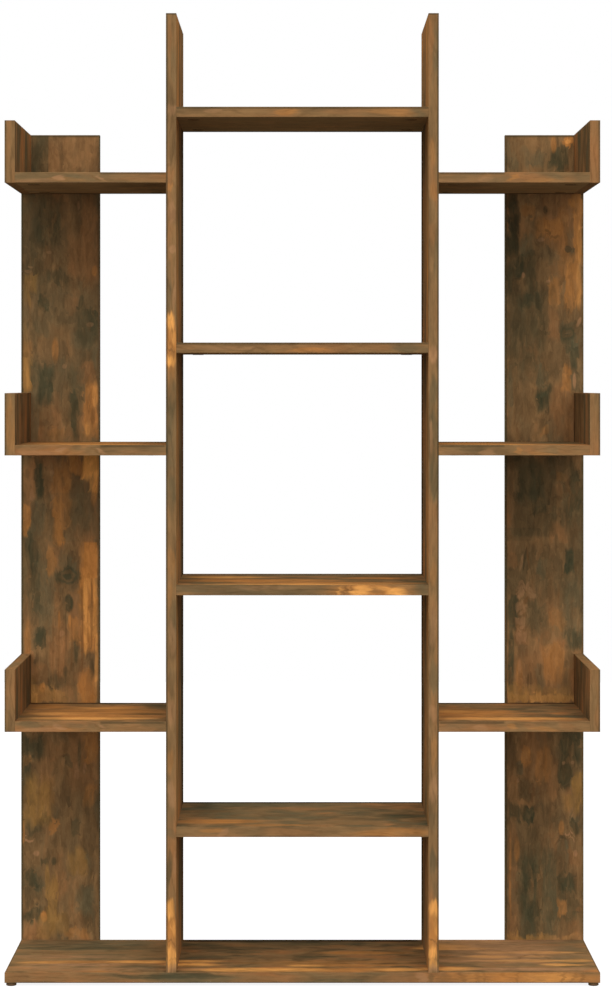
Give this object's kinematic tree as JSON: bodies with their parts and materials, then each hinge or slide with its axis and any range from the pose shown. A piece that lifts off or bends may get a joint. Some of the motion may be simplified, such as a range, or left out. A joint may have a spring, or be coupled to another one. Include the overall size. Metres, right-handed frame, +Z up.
{
  "type": "book cabinet",
  "caption": "Tall open book cabinet: a centre stack of shelves between two uprights, side shelves with low upstands, broad rear posts and a full-width base.",
  "frame": {"origin": "on the floor, under the middle of the cabinet's box", "axes": "+Z up, +Y towards the back (the front faces -Y), +X to the right as the front is seen"},
  "size_m": [0.86, 0.255, 1.405],
  "materials": {
    "oak_board": "printed smoked oak on chipboard, matt with fine pores",
    "oak_edge_band": "printed smoked oak edge strip, matt with eased arrises",
    "foot_plastic": "brown moulded plastic",
    "zinc_cam": "die-cast zinc, dull",
    "plated_steel": "zinc plated steel",
    "brown_cap": "dark brown moulded plastic",
    "dowel_wood": "plain beech"
  },
  "bodies": {
    "root": {"base_panel": "oak_board", "base_panel_edge_band": "oak_edge_band", "upright_left": "oak_board", "upright_left_edge_band": "oak_edge_band", "upright_right": "oak_board", "upright_right_edge_band": "oak_edge_band", "centre_shelf_1": "oak_board", "centre_shelf_1_edge_band": "oak_edge_band", "centre_shelf_2": "oak_board", "centre_shelf_2_edge_band": "oak_edge_band", "centre_shelf_3": "oak_board", "centre_shelf_3_edge_band": "oak_edge_band", "centre_shelf_4": "oak_board", "centre_shelf_4_edge_band": "oak_edge_band", "back_post_left": "oak_board", "back_post_left_edge_band": "oak_edge_band", "back_post_right": "oak_board", "back_post_right_edge_band": "oak_edge_band", "side_shelf_left_1": "oak_board", "side_shelf_left_1_edge_band": "oak_edge_band", "upstand_left_1": "oak_board", "upstand_left_1_edge_band": "oak_edge_band", "side_shelf_left_2": "oak_board", "side_shelf_left_2_edge_band": "oak_edge_band", "upstand_left_2": "oak_board", "upstand_left_2_edge_band": "oak_edge_band", "side_shelf_left_3": "oak_board", "side_shelf_left_3_edge_band": "oak_edge_band", "upstand_left_3": "oak_board", "upstand_left_3_edge_band": "oak_edge_band", "side_shelf_right_1": "oak_board", "side_shelf_right_1_edge_band": "oak_edge_band", "upstand_right_1": "oak_board", "upstand_right_1_edge_band": "oak_edge_band", "side_shelf_right_2": "oak_board", "side_shelf_right_2_edge_band": "oak_edge_band", "upstand_right_2": "oak_board", "upstand_right_2_edge_band": "oak_edge_band", "side_shelf_right_3": "oak_board", "side_shelf_right_3_edge_band": "oak_edge_band", "upstand_right_3": "oak_board", "upstand_right_3_edge_band": "oak_edge_band", "foot_front_left": "foot_plastic", "foot_front_right": "foot_plastic", "foot_back_left": "foot_plastic", "foot_back_right": "foot_plastic", "cam_locks": "zinc_cam", "cam_bolts": "plated_steel", "cam_caps": "brown_cap", "dowels": "dowel_wood", "base_screws": "plated_steel", "post_screws": "plated_steel", "foot_nails": "plated_steel"}
  },
  "joints": []
}
